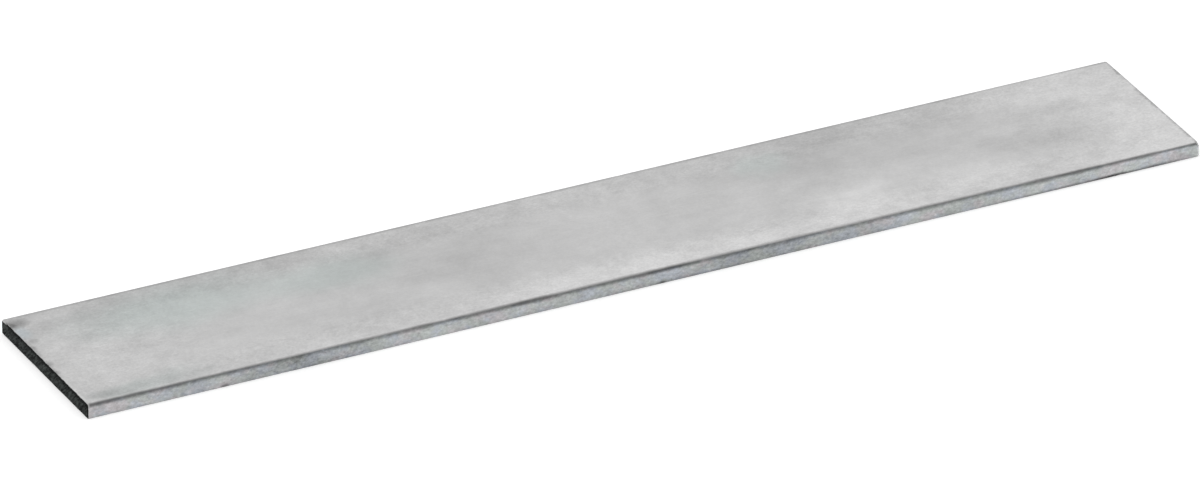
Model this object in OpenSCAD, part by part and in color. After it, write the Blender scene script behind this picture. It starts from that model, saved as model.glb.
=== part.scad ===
// Aluminium flat bar: one extruded strip with rounded long edges, sawn square at both ends.
// It lies flat on Z = 0 with its length along X, its width along Y and its centre over the origin.

/* [Section] */
// Width across the two wide faces
bar_w = 50; // [20:1:100]
// Thickness between the two wide faces
bar_t = 4; // [3.5:0.5:12]
// Radius of the four long edges, as the extrusion die leaves them
edge_r = 0.5; // [0.45:0.05:1.5]

/* [Cut] */
// Length between the two sawn ends
bar_l = 305; // [100:5:1000]
// Bevel round each sawn end, where the burr has been filed off
end_bevel = 0.3; // [0.1:0.05:0.4]

/* [Look] */
// Colour of the mill finish
metal_colour = "silver"; // [silver, lightgray, darkgray]

/* [Hidden] */
// Sides of a full circle
$fn = 96;
// Widths of the flat parts of the section, between the rounded edges
face_flat = bar_w - 2 * edge_r;
side_flat = bar_t - 2 * edge_r;

// The bar's length seen from one side, centred, with the bevel cut off its four corners
module bevelled_outline(depth) {
    x = bar_l / 2;
    y = depth / 2;
    polygon([
        [-x + end_bevel, -y], [x - end_bevel, -y],
        [x, -y + end_bevel], [x, y - end_bevel],
        [x - end_bevel, y], [-x + end_bevel, y],
        [-x, y - end_bevel], [-x, -y + end_bevel],
    ]);
}

// The full thickness, as wide as the flat of the wide faces
module face_slab() {
    rotate([90, 0, 0])
        linear_extrude(face_flat, center = true)
            bevelled_outline(bar_t);
}

// The full width, as thick as the flat of the narrow sides
module side_slab() {
    linear_extrude(side_flat, center = true)
        bevelled_outline(bar_w);
}

// One long edge: a rod of the edge radius with a cone at each end that carries the bevel round the corner
module edge_rod() {
    x = bar_l / 2;
    rotate([0, 90, 0])
        rotate_extrude()
            polygon([
                [0, -x], [edge_r - end_bevel, -x],
                [edge_r, -x + end_bevel], [edge_r, x - end_bevel],
                [edge_r - end_bevel, x], [0, x],
            ]);
}

// The whole strip, one solid
module flat_bar() {
    color(metal_colour)
        translate([0, 0, bar_t / 2])
            union() {
                face_slab();
                side_slab();
                for (side = [-1, 1], level = [-1, 1])
                    translate([0, side * face_flat / 2, level * side_flat / 2])
                        edge_rod();
            }
}

flat_bar();
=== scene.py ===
"""An aluminium flat bar on a white floor: its skin with fine relief, its finish, light and camera."""

import math
from collections import namedtuple

import bpy
import numpy as np
from mathutils import Matrix, Quaternion, Vector


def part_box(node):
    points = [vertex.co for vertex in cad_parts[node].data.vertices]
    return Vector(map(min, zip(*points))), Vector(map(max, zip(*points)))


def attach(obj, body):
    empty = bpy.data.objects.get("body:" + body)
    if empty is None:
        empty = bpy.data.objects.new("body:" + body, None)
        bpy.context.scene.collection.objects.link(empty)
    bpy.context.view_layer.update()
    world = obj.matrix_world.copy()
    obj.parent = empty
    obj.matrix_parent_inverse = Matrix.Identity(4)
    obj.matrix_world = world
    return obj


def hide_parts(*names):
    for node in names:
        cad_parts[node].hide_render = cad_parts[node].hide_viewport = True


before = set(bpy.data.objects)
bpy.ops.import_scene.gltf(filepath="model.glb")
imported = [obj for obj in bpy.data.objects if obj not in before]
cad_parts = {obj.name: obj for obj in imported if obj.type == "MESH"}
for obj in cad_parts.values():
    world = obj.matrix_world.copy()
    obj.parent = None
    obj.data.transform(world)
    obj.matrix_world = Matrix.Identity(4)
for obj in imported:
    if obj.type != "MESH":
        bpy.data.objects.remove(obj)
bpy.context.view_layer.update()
BAR_LOW, BAR_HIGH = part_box("flat_bar")

# The bar, in metres
MM = 0.001
BAR_LENGTH = BAR_HIGH.x - BAR_LOW.x
BAR_WIDTH = BAR_HIGH.y - BAR_LOW.y
BAR_THICKNESS = BAR_HIGH.z - BAR_LOW.z
BAR_MIDDLE = (BAR_LOW + BAR_HIGH) / 2
EDGE_RADIUS = 0.5 * MM
END_BEVEL = 0.3 * MM
SEED = 11

# How finely the skin is divided
ARC_STEPS = 8
COLUMN_STEP = 0.45 * MM
SIDE_STEPS = 12
STATION_STEP = 4.0 * MM
END_STATIONS = (0.6 * MM, 0.9 * MM, 1.2 * MM, 1.6 * MM, 2.2 * MM)
NICK_STEP = 0.22 * MM
SHARP_ANGLE = math.radians(28)

# Fine relief, all of it cut into the bar and none standing proud; a pair is the least and the most

# Die lines along the whole length
DIE_LINES = 90
DIE_LINE_WIDTH = (0.4 * MM, 1.3 * MM)
DIE_LINE_DEPTH = (0.0008 * MM, 0.004 * MM)
# Nicks in the long edges: half lengths, the reach counted in them, spread and offset in radians
NICKS = 18
NICK_LENGTH = (0.35 * MM, 0.9 * MM)
NICK_DEPTH = (0.04 * MM, 0.15 * MM)
NICK_REACH = 2
NICK_SPREAD = math.radians(22)
NICK_OFF_CENTRE = 0.3
NICK_END_GAP = 3 * MM
# Saw marks: coarse and fine tooth lines, which wander opposite ways, and a slow swell in their depth
SAW_DEPTH = 0.035 * MM
SAW_SLANT = math.radians(50)
SAW_PITCH = 0.9 * MM
SAW_FINE_PITCH = 0.55 * SAW_PITCH
SAW_FINE_SHARE = 0.3
SAW_FINE_WANDER = -1.7
SAW_WANDERS = 4
SAW_WANDER_HEIGHT = (0.1, 0.35)
SAW_WANDER_LENGTH = (6 * MM, 22 * MM)
SAW_SWELL = 0.4
SAW_SWELL_LENGTH = 19 * MM
# The filed bevel's uneven width: a share of it for each wave, and the waves' cycles round the outline
BEVEL_UNEVEN = 0.04
BEVEL_WAVES = (3, 7, 13, 29, 47)
BEVEL_WAVE_HEIGHT = (0.3, 1)

# Knocked corners: name, which corner, and the lengths taken off its three edges in millimetres
KNOCKS = [
    ("front of the right end", (1, -1, 1), (1.0, 1.9, 1.1)),
    ("back of the right end", (1, 1, 1), (0.8, 1.1, 0.9)),
]

# The map for baking: the skin unrolled with the length along U, and above it the two sawn ends side by side
MAP_BEVEL_U = (0.003, 0.009)
MAP_SKIN_V = (0.004, 0.885)
MAP_END_U = ((0.01, 0.49), (0.51, 0.99))
MAP_END_V = (0.91, 0.996)

# The faces' regions in the skin, each with its own material
MILL, BEVEL, SAWN = range(3)

# How far a normal leans to the side, where the side mask begins and where it is full
SIDE_LEAN = (0.2, 0.8)

# The section's outline once round: points, outward normals, and each point's column and row
Ring = namedtuple("Ring", "points normals places")

# One sawn end: its bevel's shoulder and rim as rings, and the points inside the rim
SawnEnd = namedtuple("SawnEnd", "shoulder rim inner")


# The bar's skin

def smooth_step(value, low, high):
    t = np.clip((value - low) / (high - low), 0, 1)
    return t * t * (3 - 2 * t)


def sine(turns):
    """A sine wave that takes one cycle for each whole turn."""
    return np.sin(2 * math.pi * turns)


def section_columns():
    """(y, z above the middle, tilt of the normal) of the section's upper half, from back to front."""
    half_flat = BAR_WIDTH / 2 - EDGE_RADIUS
    side_z = BAR_THICKNESS / 2 - EDGE_RADIUS
    turn = np.linspace(0, math.pi / 2, ARC_STEPS + 1)
    flat_steps = round(2 * half_flat / COLUMN_STEP)
    flat_y = np.linspace(half_flat, -half_flat, flat_steps + 1)[1:-1]
    tilt = np.concatenate([turn, np.full(len(flat_y), math.pi / 2), math.pi - turn[::-1]])
    centre = np.concatenate([np.full(len(turn), half_flat), flat_y, np.full(len(turn), -half_flat)])
    y = centre + EDGE_RADIUS * np.cos(tilt)
    z = side_z + EDGE_RADIUS * np.sin(tilt)
    return y, z, tilt


def section_ring():
    y, z, tilt = section_columns()
    last = len(y) - 1
    rows = np.linspace(1, -1, SIDE_STEPS + 1)
    places = [(j, 0) for j in range(last + 1)]
    places += [(last, k) for k in range(1, SIDE_STEPS)]
    places += [(j, SIDE_STEPS) for j in range(last, -1, -1)]
    places += [(0, k) for k in range(SIDE_STEPS - 1, 0, -1)]
    points = np.array([(y[j], rows[k] * z[j]) for j, k in places])
    normals = np.array([(math.cos(tilt[j]), rows[k] * math.sin(tilt[j])) for j, k in places])
    return Ring(points, normals, places)


def last_column(ring):
    return max(column for column, _ in ring.places)


def distance_round(ring):
    """How far each outline point is along the outline from the first one, with the whole way round last."""
    steps = np.linalg.norm(np.diff(ring.points, axis=0, append=ring.points[:1]), axis=1)
    return np.concatenate([[0], np.cumsum(steps)])


def die_line_depth(ring, rng):
    """Shallow grooves that run the whole length, as the die left them, for each point of the outline."""
    around = distance_round(ring)
    depth = np.zeros(len(ring.points))
    for _ in range(DIE_LINES):
        centre = rng.uniform(0, around[-1])
        width = rng.uniform(*DIE_LINE_WIDTH)
        depth += rng.uniform(*DIE_LINE_DEPTH) * np.exp(-((around[:-1] - centre) / width) ** 2)
    return depth


def edge_nicks(rng):
    """Small dents along the four long edges: (place along X, turn round the section, half length, depth)."""
    corners = [math.radians(45 + 90 * q) for q in range(4)]
    reach = BAR_LENGTH / 2 - NICK_END_GAP
    nicks = []
    for n in range(NICKS):
        along = rng.uniform(-reach, reach)
        turn = corners[n % 4] + rng.uniform(-NICK_OFF_CENTRE, NICK_OFF_CENTRE)
        nicks.append((along, turn, rng.uniform(*NICK_LENGTH), rng.uniform(*NICK_DEPTH)))
    return nicks


def stations(nicks):
    """Places along X where the outline is repeated, closer together at each nick and by the ends."""
    near_ends = BAR_LENGTH / 2 - np.array(END_STATIONS)
    end = near_ends[0]
    places = [*np.linspace(-end, end, round(2 * end / STATION_STEP) + 1), *near_ends, *-near_ends]
    for along, _, length, _ in nicks:
        reach = NICK_REACH * length
        places += list(np.arange(along - reach, along + reach, NICK_STEP))
    places = np.sort([p for p in places if abs(p) <= end])
    kept = [places[0]]
    for p in places[1:-1]:
        if p - kept[-1] > NICK_STEP / 2 and places[-1] - p > NICK_STEP / 2:
            kept.append(p)
    return np.array(kept + [places[-1]])


def nick_depth(x, ring, nicks):
    """How deep the nicks cut at each station and outline point."""
    turn = np.arctan2(ring.normals[:, 1], ring.normals[:, 0])
    on_arc = np.sqrt(np.abs(np.sin(2 * turn)))
    depth = np.zeros((len(x), len(turn)))
    for along, centre, length, deep in nicks:
        off = (turn - centre + math.pi) % (2 * math.pi) - math.pi
        across = np.exp(-(off / NICK_SPREAD) ** 2) * on_arc
        depth += deep * np.exp(-((x - along) / length) ** 2)[:, None] * across[None, :]
    return depth


def body_rings(ring, grooves, rng):
    """The rings between the two ends, and their places along X."""
    nicks = edge_nicks(rng)
    x = stations(nicks)
    cut = grooves[None, :] + nick_depth(x, ring, nicks)
    body = np.empty((len(x), len(ring.points), 3))
    body[:, :, 0] = x[:, None]
    body[:, :, 1:] = ring.points[None] - ring.normals[None] * cut[:, :, None]
    return body, x


def saw_depth(y, z, rng):
    """Relief of a sawn end: slanted tooth lines with an uneven pitch, deeper in some places."""
    across = y * math.cos(SAW_SLANT) + z * math.sin(SAW_SLANT)
    wander = np.zeros(len(y))
    for _ in range(SAW_WANDERS):
        height = rng.uniform(*SAW_WANDER_HEIGHT)
        length = rng.uniform(*SAW_WANDER_LENGTH)
        wander += height * sine(y / length + rng.uniform())
    tooth = 0.5 + 0.5 * sine(across / SAW_PITCH + wander)
    fine = 0.5 + 0.5 * sine(across / SAW_FINE_PITCH + SAW_FINE_WANDER * wander)
    swell = 1 - SAW_SWELL + SAW_SWELL * sine(y / SAW_SWELL_LENGTH + rng.uniform())
    return SAW_DEPTH * swell * ((1 - SAW_FINE_SHARE) * tooth + SAW_FINE_SHARE * fine)


def bevel_widths(count, rng):
    """The filed bevel's width at each outline point, uneven as a file leaves it."""
    t = np.arange(count) / count
    wave = np.zeros(count)
    for cycles in BEVEL_WAVES:
        height = rng.uniform(*BEVEL_WAVE_HEIGHT)
        wave += height * sine(t * cycles + rng.uniform())
    return END_BEVEL * (1 + BEVEL_UNEVEN * wave)


def inner_places(ring):
    """Column and row of each point inside a sawn end's rim."""
    return [(j, k) for j in range(1, last_column(ring)) for k in range(1, SIDE_STEPS)]


def sawn_points(end, ring, grooves, rng):
    """One SawnEnd, where end is -1 for the left end and 1 for the right one."""
    count = len(ring.points)
    bevel = bevel_widths(count, rng)
    shoulder_x = np.full(count, end * BAR_LENGTH / 2) - end * bevel
    shoulder = np.column_stack([shoulder_x, ring.points - ring.normals * grooves[:, None]])
    rim = ring.points - ring.normals * (bevel + grooves)[:, None]
    at = {place: rim[i] for i, place in enumerate(ring.places)}
    inner = [at[j, 0] + (at[j, SIDE_STEPS] - at[j, 0]) * k / SIDE_STEPS for j, k in inner_places(ring)]
    sawn = np.concatenate([rim, inner])
    sawn_x = end * (BAR_LENGTH / 2 - saw_depth(sawn[:, 0], sawn[:, 1], rng))
    sawn = np.column_stack([sawn_x, sawn])
    return SawnEnd(shoulder, sawn[:count], sawn[count:])


def knock_corners(vertices):
    """Flattens corners onto a slanting plane, as knocks leave them."""
    half = np.array(BAR_HIGH - BAR_LOW) / 2
    for _, which, size in KNOCKS:
        corner = np.array(BAR_MIDDLE) + half * which
        inward = -np.array(which) / (np.array(size) * MM)
        outside = np.clip(1 - (vertices - corner) @ inward, 0, None)
        vertices = vertices + outside[:, None] * inward / (inward @ inward)
    return vertices


def skin_quads(ring, x):
    """The faces between neighbouring rings: (corner numbers, region, places in the map for baking)."""
    rim_u, shoulder_u = MAP_BEVEL_U
    body_u = np.interp(x, (x[0], x[-1]), (2 * shoulder_u, 1 - 2 * shoulder_u))
    u = [rim_u, shoulder_u, *body_u, 1 - shoulder_u, 1 - rim_u]
    around = distance_round(ring)
    v = np.interp(around, (0, around[-1]), MAP_SKIN_V)
    count = len(ring.points)
    quads = []
    for s in range(len(u) - 1):
        region = BEVEL if s in (0, len(u) - 2) else MILL
        a, b = s * count, (s + 1) * count
        for i in range(count):
            n = (i + 1) % count
            on_map = [(u[s], v[i]), (u[s], v[i + 1]), (u[s + 1], v[i + 1]), (u[s + 1], v[i])]
            quads.append(((a + i, a + n, b + n, b + i), region, on_map))
    return quads


def end_quads(ring, end, rim_start, inner_start):
    """The faces of one sawn end in the same form, where end is 0 for the left end and 1 for the right."""
    index = {place: rim_start + i for i, place in enumerate(ring.places)}
    index.update({place: inner_start + i for i, place in enumerate(inner_places(ring))})
    last = last_column(ring)
    map_u = np.linspace(*MAP_END_U[end], last + 1)
    map_v = np.linspace(*MAP_END_V, SIDE_STEPS + 1)
    quads = []
    for j in range(last):
        for k in range(SIDE_STEPS):
            places = [(j, k), (j, k + 1), (j + 1, k + 1), (j + 1, k)]
            if end == 1:
                places.reverse()
            on_map = [(map_u[column], map_v[row]) for column, row in places]
            quads.append(([index[place] for place in places], SAWN, on_map))
    return quads


def edge_distance(ring):
    """Millimetres along the outline from each point to the middle of the nearest rounded edge."""
    around = distance_round(ring)
    whole = around[-1]
    diagonal = np.isclose(np.abs(ring.normals[:, 0]), np.abs(ring.normals[:, 1]))
    middles = around[:-1][diagonal]
    gap = np.abs(around[:-1, None] - middles[None, :])
    return np.minimum(gap, whole - gap).min(axis=1) / MM


def add_mask(mesh, name, ring_values, layers):
    """Stores one value for each outline point, the same at every station, and 0 inside the sawn ends."""
    values = np.zeros(len(mesh.vertices), np.float32)
    values[: layers * len(ring_values)] = np.tile(ring_values, layers)
    mesh.attributes.new(name, "FLOAT", "POINT").data.foreach_set("value", values)


def bar_mesh():
    """The whole skin as one closed mesh, with its face regions and its edge and side masks."""
    rng = np.random.default_rng(SEED)
    ring = section_ring()
    grooves = die_line_depth(ring, rng)
    body, x = body_rings(ring, grooves, rng)
    left = sawn_points(-1, ring, grooves, rng)
    right = sawn_points(1, ring, grooves, rng)
    layers = [left.rim, left.shoulder, *body, right.shoulder, right.rim]
    vertices = np.concatenate(layers + [left.inner, right.inner]) + np.array(BAR_MIDDLE)
    vertices = knock_corners(vertices)

    count = len(ring.points)
    last_rim = (len(layers) - 1) * count
    first_inner = len(layers) * count
    quads = skin_quads(ring, x)
    quads += end_quads(ring, 0, 0, first_inner)
    quads += end_quads(ring, 1, last_rim, first_inner + len(left.inner))

    mesh = bpy.data.meshes.new("flat_bar_skin")
    mesh.from_pydata([tuple(vertex) for vertex in vertices], [], [corners for corners, _, _ in quads])
    mesh.polygons.foreach_set("material_index", [region for _, region, _ in quads])
    mesh.polygons.foreach_set("use_smooth", [True] * len(quads))
    on_map = np.ravel([places for _, _, places in quads])
    mesh.uv_layers.new(name="OFBake").uv.foreach_set("vector", on_map)
    mesh.update()
    mesh.set_sharp_from_angle(angle=SHARP_ANGLE)
    add_mask(mesh, "edge_distance", edge_distance(ring), len(layers))
    add_mask(mesh, "side_mask", smooth_step(np.abs(ring.normals[:, 0]), *SIDE_LEAN), len(layers))
    return mesh


# Shader building blocks

# The share of a soft patch's half size within which its change of tone is whole
PATCH_CORE = 0.2
WARP_DETAIL = 5.0
WARP_ROUGHNESS = 0.65


def cleared_tree(owner):
    """The node tree of a material or world, emptied."""
    owner.use_nodes = True
    owner.node_tree.nodes.clear()
    return owner.node_tree


def add_node(tree, kind, inputs=None, **settings):
    made = tree.nodes.new(kind)
    for name, value in settings.items():
        setattr(made, name, value)
    for key, value in (inputs or {}).items():
        if isinstance(value, bpy.types.NodeSocket):
            tree.links.new(value, made.inputs[key])
        else:
            made.inputs[key].default_value = value
    return made


def calc(tree, operation, a, b=0.0, c=0.0):
    return add_node(tree, "ShaderNodeMath", {0: a, 1: b, 2: c}, operation=operation).outputs[0]


def total(tree, first, *others):
    for other in others:
        first = calc(tree, "ADD", first, other)
    return first


def product(tree, first, *others):
    for other in others:
        first = calc(tree, "MULTIPLY", first, other)
    return first


def one_less(tree, value):
    return calc(tree, "SUBTRACT", 1.0, value)


def remap(tree, value, low, high, to_low=0.0, to_high=1.0):
    """A smooth step from to_low, at low, to to_high, at high."""
    made = add_node(
        tree, "ShaderNodeMapRange",
        {"Value": value, "From Min": low, "From Max": high, "To Min": to_low, "To Max": to_high},
        interpolation_type="SMOOTHSTEP",
    )
    return made.outputs["Result"]


def noise(tree, place, size, detail, rough):
    """Noise from 0 to 1 whose blotches measure about size (x, y, z) in the units of place."""
    scaled = add_node(
        tree, "ShaderNodeVectorMath", {0: place, 1: tuple(1 / s for s in size)}, operation="MULTIPLY"
    )
    made = add_node(
        tree, "ShaderNodeTexNoise",
        {"Vector": scaled.outputs[0], "Scale": 1.0, "Detail": detail, "Roughness": rough},
    )
    return made.outputs["Fac"]


def swing(tree, value, amount):
    """Turns noise from 0 to 1 into a change from -amount to +amount."""
    return calc(tree, "MULTIPLY_ADD", value, 2 * amount, -amount)


def mix_colour(tree, share, first, second):
    """Two colours mixed: inputs 6 and 7 and output 2 are the Mix node's sockets for colours."""
    made = add_node(tree, "ShaderNodeMix", {0: share, 6: first, 7: second}, data_type="RGBA")
    return made.outputs[2]


def scale_vector(tree, vector, factor):
    """A place or a colour, times a number."""
    made = add_node(tree, "ShaderNodeVectorMath", {0: vector, "Scale": factor}, operation="SCALE")
    return made.outputs[0]


def bump(tree, shader, height, distance):
    """Joins a bump to the shader: height is from 0 to 1, and distance is what 1 stands for in metres."""
    made = add_node(tree, "ShaderNodeBump", {"Height": height, "Distance": distance})
    tree.links.new(made.outputs[0], shader.inputs["Normal"])


def new_material(name):
    material = bpy.data.materials.new(name)
    tree = cleared_tree(material)
    shader = add_node(tree, "ShaderNodeBsdfPrincipled")
    add_node(tree, "ShaderNodeOutputMaterial", {"Surface": shader.outputs[0]})
    return material, tree, shader


def millimetres(tree):
    """The place on the bar in millimetres."""
    place = add_node(tree, "ShaderNodeTexCoord").outputs["Object"]
    return scale_vector(tree, place, 1 / MM)


def mask_of(tree, name):
    return add_node(tree, "ShaderNodeAttribute", attribute_name=name).outputs["Fac"]


def soft_patches(tree, place, patches):
    """The summed change of tone of soft-edged patches."""
    changes = []
    for _, centre, half, change in patches:
        scale = tuple(1 / h for h in half)
        shift = tuple(-c / h for c, h in zip(centre, half))
        inside = add_node(
            tree, "ShaderNodeVectorMath", {0: place, 1: scale, 2: shift}, operation="MULTIPLY_ADD"
        )
        far = add_node(tree, "ShaderNodeVectorMath", {0: inside.outputs[0]}, operation="LENGTH")
        changes.append(remap(tree, far.outputs["Value"], PATCH_CORE, 1.0, change, 0.0))
    return total(tree, *changes)


def warped(tree, place, size, reach):
    """The place, pushed about by noise so that what is drawn there gets cloudy outlines."""
    push = add_node(
        tree, "ShaderNodeTexNoise",
        {
            "Vector": scale_vector(tree, place, 1 / size), "Scale": 1.0,
            "Detail": WARP_DETAIL, "Roughness": WARP_ROUGHNESS,
        },
    )
    pushed = add_node(
        tree, "ShaderNodeVectorMath",
        {0: push.outputs["Color"], 1: tuple(2 * r for r in reach), 2: tuple(-r for r in reach)},
        operation="MULTIPLY_ADD",
    )
    return add_node(tree, "ShaderNodeVectorMath", {0: place, 1: pushed.outputs[0]}).outputs[0]


# The finish, with painted shade, dark reflections and highlights

# Linear colours
FACE_GREY = (0.59, 0.588, 0.588, 1)
FACE_GREEN_GREY = (0.55, 0.588, 0.578, 1)
FACE_BLUE_GREY = (0.55, 0.59, 0.61, 1)
# The sides' greys are darker than the faces' grey as painted shade
SIDE_GREY = (0.400, 0.420, 0.409, 1)
SIDE_BLUE_GREY = (0.396, 0.419, 0.453, 1)
SIDE_LILAC_GREY = (0.434, 0.416, 0.426, 1)
BEVEL_GREY = (0.52, 0.52, 0.52, 1)
# Near-black of the filed bevel: painted shade
BEVEL_SHADE_BLACK = (0.010, 0.011, 0.011, 1)
# Near-black of the sawn ends: painted shade
END_SHADE_BLACK = (0.031, 0.0345, 0.0333)

# Noise: size of its blotches along X, Y and Z in millimetres, detail, roughness
FACE_CLOUDS = ((24, 12, 12), 2, 0.5)
FACE_MOTTLE = ((6, 5, 5), 5, 0.85)
FACE_STREAKS = ((160, 0.8, 0.8), 2, 0.5)
SIDE_BLOTCHES = ((14, 9, 6), 4, 0.7)
SIDE_SPECKLE = ((1.2, 1.2, 0.7), 3, 0.8)
SIDE_BLUES = ((7, 9, 5), 4, 0.7)
SIDE_LILACS = ((8, 5, 5), 4, 0.7)
LINE_WANDER = ((9, 9, 9), 4, 0.6)
LINE_DEPTH = ((17, 17, 17), 3, 0.6)
RIM_WANDER = ((3, 3, 3), 4, 0.7)
MILL_GRAIN = ((0.7, 0.6, 0.6), 3, 0.7)
MILL_WEAR = ((18, 10, 10), 5, 0.65)
BEVEL_SCRATCHES = ((1.5, 1.5, 1.5), 4, 0.7)
END_TEETH = ((1, 0.4, 2.2), 3, 0.6)
END_MOTTLE = ((3, 2.2, 1.6), 4, 0.75)

# How far the noise swings the tone up and down
FACE_CLOUD_SWING = 0.12
FACE_MOTTLE_SWING = 0.18
FACE_STREAK_SWING = 0.03
SIDE_BLOTCH_SWING = 0.4
SIDE_SPECKLE_SWING = 0.6
MILL_GRAIN_SWING = 0.13
END_TEETH_SWING = 3.2
END_MOTTLE_SWING = 1.8

# How far the noise swings the border of a line or bare strip to and fro, in millimetres
LINE_WANDER_SWING = 0.45
RIM_WANDER_SWING = 1.6
BARE_SWING = 0.16

# Warps that give patches cloudy outlines: size of the noise and its reach along X, Y and Z in millimetres
FACE_WARP = (14, (10, 6, 0))
SIDE_WARP = (14, (10, 0, 1))
MARK_WARP = (2.5, (1.0, 1.0, 0.2))

# Handling: millimetres from the bar's middle where it begins and is full, and its least and most strength
HANDLED_X = (90, 145)
HANDLED_Y = (8, 20)
HANDLING = (0.75, 1.6)

# Where the noise of the two narrow sides turns bluish and lilac, and how much a pale patch adds to lilac
BLUE_RANGE = (0.42, 0.62)
LILAC_RANGE = (0.46, 0.64)
LILAC_BY_TONE = 0.25

# The dark line on the rounded edges, a painted dark reflection: millimetres from an edge's middle where it
# begins to fade and ends
LINE_FADE = (0.05, 1.15)
# The line's depth of tone, and the range of the noise that sets it
LINE_DEPTHS = (0.44, 0.56)
LINE_DEPTH_RANGE = (0.35, 0.65)
# The stretch along X, in millimetres, where the line gets narrower, and the factor at its two ends
LINE_NARROWS_X = (90, 150)
LINE_NARROWS = (1.0, 1.2)
# The heights in millimetres between which the line gets stronger, and its strength below and above
LINE_LEVELS = (1.0, 3.0)
LINE_STRENGTHS = (0.25, 1.0)
# The dark rim by the right end: millimetres from the end where it begins to fade and ends, and its depth
RIM_FADE = (0.1, 1.25)
RIM_DEPTH = 0.38

# The bevel's strip of bare metal: millimetres from the end where it begins and where it is full
BARE_RANGE = (0.2, 0.3)
# The sawn end's dark edges: millimetres from mid-thickness where they begin and are full, and tones
END_EDGE_Z = (1.1, 1.75)
END_EDGE_TONE = 0.3
END_LEAST_TONE = 0.15

# Roughness over the middle range of the noise that sets it, heights of bumps, gloss of the dark metal
NOISE_MIDDLE = (0.3, 0.7)
MILL_ROUGHNESS = (0.42, 0.54)
BEVEL_ROUGHNESS = (0.42, 0.62)
END_ROUGHNESS = (0.6, 0.8)
MILL_BUMP = 0.01 * MM
BEVEL_BUMP = 0.02 * MM
END_BUMP = 0.03 * MM
DARK_GLOSS = 0.02

# Soft patches: name, place and half size in millimetres, change of tone
# The patches called bright are painted highlights
FACE_PATCHES = [
    ("dull along the back edge", (0, 26, 4), (230, 18, 3), -0.04),
    ("pale back, middle", (0, 24, 4), (36, 7, 3), 0.06),
    ("bright along the front edge", (20, -24, 4), (190, 10, 3), 0.06),
    ("bright right end", (150, -6, 4), (24, 42, 3), 0.19),
    ("bright back right corner", (125, 20, 4), (28, 16, 3), 0.14),
    ("bright front right corner", (128, -20, 4), (34, 12, 3), 0.07),
    ("bright front, right", (62, -15, 4), (22, 12, 3), 0.15),
    ("bright front, far right", (94, -15, 4), (18, 12, 3), 0.15),
    ("bright front, middle", (-6, -21, 4), (54, 12, 3), 0.14),
    ("bright front, right of the middle", (40, -22, 4), (24, 9, 3), 0.11),
    ("pale left", (-136, -7, 4), (22, 18, 3), 0.05),
    ("pale middle", (0, 2, 4), (22, 20, 3), 0.035),
    ("pale front, left of the middle", (-72, -20, 4), (28, 10, 3), 0.05),
    ("pale front, far right", (84, -14, 4), (12, 11, 3), 0.04),
    ("dull back, right", (70, 13, 4), (42, 20, 3), -0.10),
    ("dull right", (110, -4, 4), (26, 9, 3), -0.035),
    ("dull left of the middle", (-48, 6, 4), (44, 20, 3), -0.085),
    ("dull back left", (-112, 20, 4), (60, 13, 3), -0.11),
    ("grime along the left front edge", (-133, -21, 4), (26, 4, 3), -0.10),
]
SIDE_PATCHES = [
    ("pale left end", (-151, -25, 2), (15, 3, 6), 0.10),
    ("dull left", (-92.5, -25, 2), (21, 3, 6), -0.23),
    ("pale left of the middle", (-58, -25, 2), (26, 3, 6), 0.11),
    ("dull right of the middle", (30, -25, 2), (36, 3, 6), -0.20),
    ("pale right", (96, -25, 2), (16, 3, 6), 0.07),
    ("pale right end", (136, -25, 2), (42, 3, 6), 0.10),
]
SMALL_MARKS = [
    # The marks by the left end below darken the top face along that end's edge
    ("dark patch at the back left corner", (-152.4, 20.6, 4), (2.4, 3.4, 2), -0.33),
    ("dark patch beside the back left corner", (-150.2, 21.2, 4), (4.2, 3.0, 2), -0.32),
    ("pale back edge near the left end", (-140.5, 21.5, 4), (7, 5, 2), 0.13),
    ("dull by the left end, back", (-150.5, 14.5, 4), (7.5, 9, 2), -0.08),
    ("dark patch by the left end, back", (-150.3, 10.9, 4), (1.8, 1.8, 2), -0.2),
    ("speck by the left end", (-151.6, 7.6, 4), (1.2, 1.8, 2), -0.16),
    ("dull fringe along the left end, back", (-152.2, 7, 4), (1.3, 8, 2), -0.2),
    ("dark patch by the left end, middle", (-151.9, -1.4, 4), (1.9, 2.6, 2), -0.3),
    ("dark patch by the left end, front", (-152.1, -5.7, 4), (1.4, 2.2, 2), -0.25),
    ("dull fringe along the left end", (-152.3, -4, 4), (1.2, 6.5, 2), -0.15),
    ("grime beside the front left corner", (-146.8, -21.5, 4), (6.5, 2.7, 2), -0.16),
    # A painted highlight along the top edge of the left end
    ("pale left edge by the front corner", (-152.2, -19, 4), (0.9, 7, 1.5), 0.12),
    # The end of the painted dark reflection on the front edge, as a dark spot at the corner
    ("dark spot at the front right corner", (152.3, -24.6, 3.6), (1.0, 1.0, 0.8), -0.35),
    ("pale right edge of the front side", (152.5, -25, 1.8), (0.9, 1.5, 2.2), 0.45),
    # The next four marks are painted shade along the lower front edge
    ("dark lower edge, right", (118, -25, 0.3), (38, 2, 0.8), -0.35),
    ("dark run on the lower edge", (128, -25, 0.3), (9, 2, 0.9), -0.5),
    ("dark run on the lower edge, far right", (141, -25, 0.3), (10, 2, 0.9), -0.4),
    ("dull lower edge, middle", (12, -25, 0.3), (34, 2, 0.9), -0.2),
    ("dark dot on the lower edge, left", (-115.5, -25, 0.4), (1.3, 2, 0.8), -0.5),
    ("dark dot on the lower edge, middle", (3.3, -25, 0.4), (1.3, 2, 0.8), -0.5),
]

# The same form, with the share of the greenish or bluish grey
FACE_GREENS = [
    ("greenish left", (-112, 12, 4), (40, 15, 3), 0.9),
    ("greenish left of the middle", (-70, 10, 4), (24, 12, 3), 0.8),
    ("greenish right of the middle", (50, 14, 4), (10, 8, 3), 0.7),
    ("greenish left front edge", (-135, -21, 4), (24, 5, 3), 0.6),
]
FACE_BLUES = [
    ("bluish by the left end", (-151.2, 16, 4), (3.4, 5, 3), 0.9),
]
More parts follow.
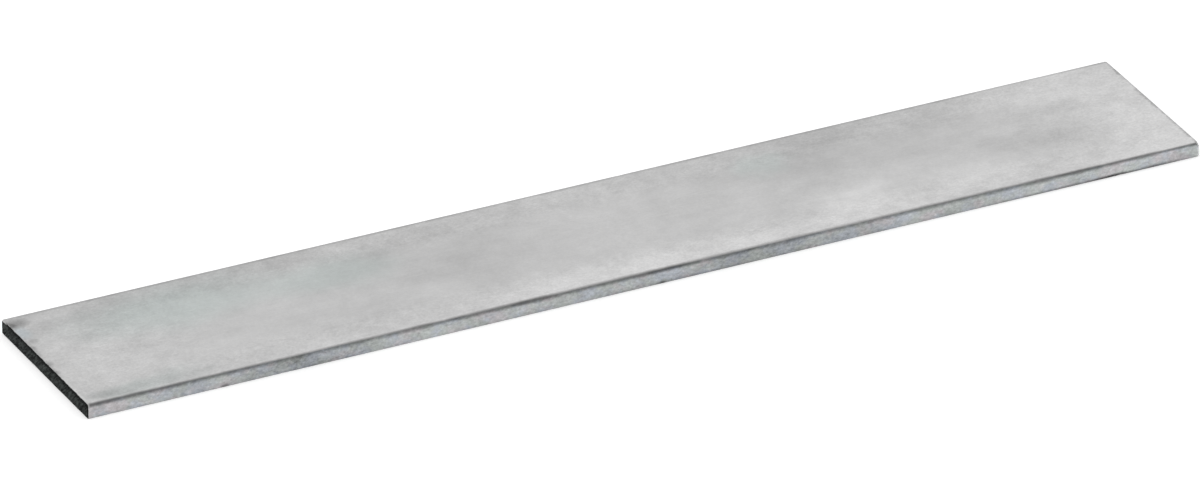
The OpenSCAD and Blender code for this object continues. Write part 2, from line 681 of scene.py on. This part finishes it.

# The same form, with what is added to the depth of the painted dark reflection on the edges, and then with
# the share by which it spreads
EDGE_RUNS = [
    ("no dark line at the front left corner", (-152.5, -25, 4), (0.9, 2.5, 2.5), -0.5),
    ("dark run, far left", (-145, -25, 4), (14, 6, 6), 0.11),
    ("dark run, left", (-122, -25, 4), (20, 6, 6), 0.09),
    ("pale run, left", (-86, -25, 4), (26, 6, 6), -0.09),
    ("dark run left of the middle", (-46, -25, 4), (28, 6, 6), 0.10),
    ("darkest run", (-32, -25, 4), (9, 6, 6), 0.16),
    ("dark run in the middle", (-1, -25, 4), (20, 6, 6), 0.15),
    ("dark spot right of the middle", (8, -25, 4), (8, 6, 6), 0.10),
    ("pale run, right of the middle", (44, -25, 4), (42, 6, 6), -0.08),
    ("dark run, right", (124, -25, 4), (28, 6, 6), 0.11),
    ("pale run at the front right corner", (149, -25, 4), (9, 6, 6), -0.04),
    ("faint all along the back", (0, 25, 4), (700, 6, 6), -0.2),
]
EDGE_SPREADS = [
    ("wide in the middle of the front", (18, -25, 4.2), (110, 6, 1.2), 0.3),
    ("wide along the back", (0, 25, 4.2), (700, 6, 1.2), 0.3),
    ("thin at the front right corner", (152, -25, 4), (14, 6, 6), -0.35),
]

# The same form, with the share of bare metal on the bevel
BEVEL_BARE_SPOTS = [
    ("back left corner", (-152.5, 24, 4), (3, 2.5, 1.6), 1.0),
    ("right end of the front side", (152.5, -25, 2), (2, 2, 4), 1.0),
]


def parts_of(tree, mm):
    """The place's three distances from the bar's middle, none of them negative."""
    middle = tuple(BAR_MIDDLE / MM)
    centred = add_node(tree, "ShaderNodeVectorMath", {0: mm, 1: middle}, operation="SUBTRACT")
    away = add_node(tree, "ShaderNodeVectorMath", {0: centred.outputs[0]}, operation="ABSOLUTE")
    return add_node(tree, "ShaderNodeSeparateXYZ", {0: away.outputs[0]}).outputs


def handling(tree, mm):
    """How much the faces have been handled: least in the middle, most by the ends and the long edges."""
    away = parts_of(tree, mm)
    by_ends = remap(tree, away["X"], *HANDLED_X)
    by_edges = remap(tree, away["Y"], *HANDLED_Y)
    return remap(tree, calc(tree, "MAXIMUM", by_ends, by_edges), 0.0, 1.0, *HANDLING)


def face_colour(tree, mm):
    """Grey of the wide faces: cloudy, mottled, and faintly streaked along the length."""
    cloudy = warped(tree, mm, *FACE_WARP)
    clouds = noise(tree, mm, *FACE_CLOUDS)
    mottle = noise(tree, mm, *FACE_MOTTLE)
    streaks = noise(tree, mm, *FACE_STREAKS)
    tone = total(
        tree, 1.0,
        soft_patches(tree, cloudy, FACE_PATCHES),
        swing(tree, clouds, FACE_CLOUD_SWING),
        product(tree, swing(tree, mottle, FACE_MOTTLE_SWING), handling(tree, mm)),
        swing(tree, streaks, FACE_STREAK_SWING),
    )
    colour = mix_colour(tree, soft_patches(tree, cloudy, FACE_GREENS), FACE_GREY, FACE_GREEN_GREY)
    colour = mix_colour(tree, soft_patches(tree, mm, FACE_BLUES), colour, FACE_BLUE_GREY)
    return scale_vector(tree, colour, tone)


def side_colour(tree, mm):
    """Grey of the two narrow sides, darker than the faces as painted shade: blotched and speckled, with
    bluish and lilac patches.
    """
    patches = soft_patches(tree, warped(tree, mm, *SIDE_WARP), SIDE_PATCHES)
    tone = total(
        tree, 1.0, patches,
        swing(tree, noise(tree, mm, *SIDE_BLOTCHES), SIDE_BLOTCH_SWING),
        swing(tree, noise(tree, mm, *SIDE_SPECKLE), SIDE_SPECKLE_SWING),
    )
    blue = remap(tree, noise(tree, mm, *SIDE_BLUES), *BLUE_RANGE)
    rosy = total(tree, noise(tree, mm, *SIDE_LILACS), product(tree, patches, LILAC_BY_TONE))
    lilac = remap(tree, rosy, *LILAC_RANGE)
    colour = mix_colour(tree, blue, SIDE_GREY, SIDE_BLUE_GREY)
    colour = mix_colour(tree, lilac, colour, SIDE_LILAC_GREY)
    return scale_vector(tree, colour, tone)


def painted_edge_reflection_and_rim(tree, mm):
    """Painted dark reflection along each rounded edge, fainter on the lower ones, and an uneven dark rim at
    the right end.
    """
    place = add_node(tree, "ShaderNodeSeparateXYZ", {0: mm}).outputs
    wander = swing(tree, noise(tree, mm, *LINE_WANDER), LINE_WANDER_SWING)
    away = total(tree, mask_of(tree, "edge_distance"), wander)
    away = product(tree, away, remap(tree, place["X"], *LINE_NARROWS_X, *LINE_NARROWS))
    away = product(tree, away, one_less(tree, soft_patches(tree, mm, EDGE_SPREADS)))
    line = remap(tree, away, *LINE_FADE, 1.0, 0.0)
    depth = remap(tree, noise(tree, mm, *LINE_DEPTH), *LINE_DEPTH_RANGE, *LINE_DEPTHS)
    depth = total(tree, depth, soft_patches(tree, mm, EDGE_RUNS))
    strength = remap(tree, place["Z"], *LINE_LEVELS, *LINE_STRENGTHS)
    from_end = calc(tree, "SUBTRACT", BAR_HIGH.x / MM, place["X"])
    from_end = total(tree, from_end, swing(tree, noise(tree, mm, *RIM_WANDER), RIM_WANDER_SWING))
    on_face = one_less(tree, mask_of(tree, "side_mask"))
    rim = product(tree, remap(tree, from_end, *RIM_FADE, RIM_DEPTH, 0.0), on_face)
    left_by_line = one_less(tree, product(tree, line, depth, strength))
    return product(tree, left_by_line, one_less(tree, rim))


def mill_finish():
    """The bar's bare metal: two greys, the sides' darker one being painted shade, painted dark reflections
    along the edges, small marks and a fine grain.
    """
    material, tree, shader = new_material("mill_finish")
    mm = millimetres(tree)
    grain = noise(tree, mm, *MILL_GRAIN)
    wear = noise(tree, mm, *MILL_WEAR)
    colour = mix_colour(tree, mask_of(tree, "side_mask"), face_colour(tree, mm), side_colour(tree, mm))
    marks = soft_patches(tree, warped(tree, mm, *MARK_WARP), SMALL_MARKS)
    colour = scale_vector(tree, colour, painted_edge_reflection_and_rim(tree, mm))
    speckle = product(tree, swing(tree, grain, MILL_GRAIN_SWING), handling(tree, mm))
    colour = scale_vector(tree, colour, total(tree, 1.0, marks, speckle))
    roughness = remap(tree, wear, *NOISE_MIDDLE, *MILL_ROUGHNESS)
    tree.links.new(colour, shader.inputs["Base Color"])
    tree.links.new(roughness, shader.inputs["Roughness"])
    shader.inputs["Metallic"].default_value = 1.0
    bump(tree, shader, grain, MILL_BUMP)
    return material


def filed_bevel():
    """Near-black as painted shade, like the sawn end, with bare metal along its outer side and in two spots
    at the corners.
    """
    material, tree, shader = new_material("filed_bevel")
    mm = millimetres(tree)
    from_end = calc(tree, "SUBTRACT", BAR_LENGTH / 2 / MM, parts_of(tree, mm)["X"])
    scratches = noise(tree, mm, *BEVEL_SCRATCHES)
    ragged = total(tree, from_end, swing(tree, scratches, BARE_SWING))
    bare_spots = soft_patches(tree, mm, BEVEL_BARE_SPOTS)
    bare = calc(tree, "MAXIMUM", remap(tree, ragged, *BARE_RANGE), bare_spots)
    roughness = remap(tree, scratches, *NOISE_MIDDLE, *BEVEL_ROUGHNESS)
    tree.links.new(mix_colour(tree, bare, BEVEL_SHADE_BLACK, BEVEL_GREY), shader.inputs["Base Color"])
    tree.links.new(bare, shader.inputs["Metallic"])
    tree.links.new(roughness, shader.inputs["Roughness"])
    shader.inputs["Specular IOR Level"].default_value = DARK_GLOSS
    bump(tree, shader, scratches, BEVEL_BUMP)
    return material


def sawn_end():
    """Saw cut, near-black as painted shade: slanted tooth marks, mottled, and darkest along its upper and
    lower edge.
    """
    material, tree, shader = new_material("sawn_end")
    mm = millimetres(tree)
    slanted = add_node(
        tree, "ShaderNodeVectorRotate", {"Vector": mm, "Angle": -SAW_SLANT}, rotation_type="X_AXIS"
    ).outputs[0]
    teeth = noise(tree, slanted, *END_TEETH)
    mottle = noise(tree, mm, *END_MOTTLE)
    edges = remap(tree, parts_of(tree, mm)["Z"], *END_EDGE_Z, 1.0, END_EDGE_TONE)
    tone = total(tree, 1.0, swing(tree, teeth, END_TEETH_SWING), swing(tree, mottle, END_MOTTLE_SWING))
    tone = product(tree, calc(tree, "MAXIMUM", tone, END_LEAST_TONE), edges)
    roughness = remap(tree, mottle, *NOISE_MIDDLE, *END_ROUGHNESS)
    tree.links.new(scale_vector(tree, END_SHADE_BLACK, tone), shader.inputs["Base Color"])
    tree.links.new(roughness, shader.inputs["Roughness"])
    shader.inputs["Specular IOR Level"].default_value = DARK_GLOSS
    bump(tree, shader, teeth, END_BUMP)
    return material


# The stage

# The floor, the sky and the lamp, in metres and watts
FLOOR_SIZE = 30.0
FLOOR_WHITE = (0.75, 0.75, 0.75, 1)
FLOOR_LIFT = 0.44
SKY_WHITE = (1, 1, 1, 1)
SKY_LOW, SKY_HIGH = 1.0, 0.6
SKY_FADE = (0.6, 0.95)
LAMP_POWER = 7.0
LAMP_SIZE = 1.6
LAMP_PLACE = Vector((-0.35, -0.45, 2.2))

# The camera, fitted to the photograph: the picture in pixels, angles in degrees, distances in metres
PHOTO_SIZE = (1200, 480)
ORIGIN_PIXEL = (605.3, 244.5)
PIXELS_PER_BAR = 1235.4
VIEW_AZIMUTH = -26.07
VIEW_ELEVATION = 27.79
VIEW_ROLL = -0.4
VIEW_DISTANCE = 16 * BAR_LENGTH
VIEW_END = 3 * VIEW_DISTANCE


def make_floor():
    """A white floor that keeps the bar's shadow and looks a little lighter than the light alone makes it."""
    bpy.ops.mesh.primitive_plane_add(size=FLOOR_SIZE, location=(0, 0, BAR_LOW.z))
    floor = bpy.context.object
    floor.name = "floor"
    material = bpy.data.materials.new("floor_white")
    tree = cleared_tree(material)
    matte = add_node(tree, "ShaderNodeBsdfDiffuse", {"Color": FLOOR_WHITE})
    path = add_node(tree, "ShaderNodeLightPath").outputs
    seen = calc(tree, "MAXIMUM", path["Is Camera Ray"], path["Is Glossy Ray"])
    seen = calc(tree, "MAXIMUM", seen, path["Is Transmission Ray"])
    lift = add_node(tree, "ShaderNodeEmission", {"Strength": calc(tree, "MULTIPLY", seen, FLOOR_LIFT)})
    both = add_node(tree, "ShaderNodeAddShader", {0: matte.outputs[0], 1: lift.outputs[0]})
    add_node(tree, "ShaderNodeOutputMaterial", {"Surface": both.outputs[0]})
    floor.data.materials.append(material)


def make_sky():
    """An even white sky, weaker straight above."""
    world = bpy.data.worlds.new("studio")
    bpy.context.scene.world = world
    tree = cleared_tree(world)
    direction = add_node(tree, "ShaderNodeTexCoord").outputs["Generated"]
    height = add_node(tree, "ShaderNodeSeparateXYZ", {0: direction}).outputs["Z"]
    strength = remap(tree, height, *SKY_FADE, SKY_LOW, SKY_HIGH)
    sky = add_node(tree, "ShaderNodeBackground", {"Color": SKY_WHITE, "Strength": strength})
    add_node(tree, "ShaderNodeOutputWorld", {"Surface": sky.outputs[0]})


def make_lamp():
    data = bpy.data.lights.new("softbox", "AREA")
    data.energy = LAMP_POWER
    data.size = LAMP_SIZE
    lamp = bpy.data.objects.new("softbox", data)
    bpy.context.scene.collection.objects.link(lamp)
    lamp.location = LAMP_PLACE
    lamp.rotation_euler = (-LAMP_PLACE).to_track_quat("-Z", "Y").to_euler()


def make_camera():
    azimuth, elevation = math.radians(VIEW_AZIMUTH), math.radians(VIEW_ELEVATION)
    back = Vector((
        math.sin(azimuth) * math.cos(elevation),
        -math.cos(azimuth) * math.cos(elevation),
        math.sin(elevation),
    ))
    level = Vector((math.cos(azimuth), math.sin(azimuth), 0))
    right = Quaternion(back, math.radians(VIEW_ROLL)) @ level
    up = back.cross(right)
    pixel = BAR_LENGTH / PIXELS_PER_BAR
    off_x = (ORIGIN_PIXEL[0] - PHOTO_SIZE[0] / 2) * pixel
    off_y = (ORIGIN_PIXEL[1] - PHOTO_SIZE[1] / 2) * pixel
    data = bpy.data.cameras.new("camera")
    data.lens = data.sensor_width * VIEW_DISTANCE / (PHOTO_SIZE[0] * pixel)
    data.clip_end = VIEW_END
    camera = bpy.data.objects.new("camera", data)
    bpy.context.scene.collection.objects.link(camera)
    camera.location = up * off_y - right * off_x + back * VIEW_DISTANCE
    camera.rotation_euler = Matrix((right, up, back)).transposed().to_euler()
    bpy.context.scene.camera = camera


make_camera()
bar = bpy.data.objects.new("flat_bar_skin", bar_mesh())
bpy.context.scene.collection.objects.link(bar)
for material in (mill_finish(), filed_bevel(), sawn_end()):
    bar.data.materials.append(material)
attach(bar, "root")
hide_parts("flat_bar")

make_floor()
make_sky()
make_lamp()
bpy.context.scene.view_settings.view_transform = "Standard"
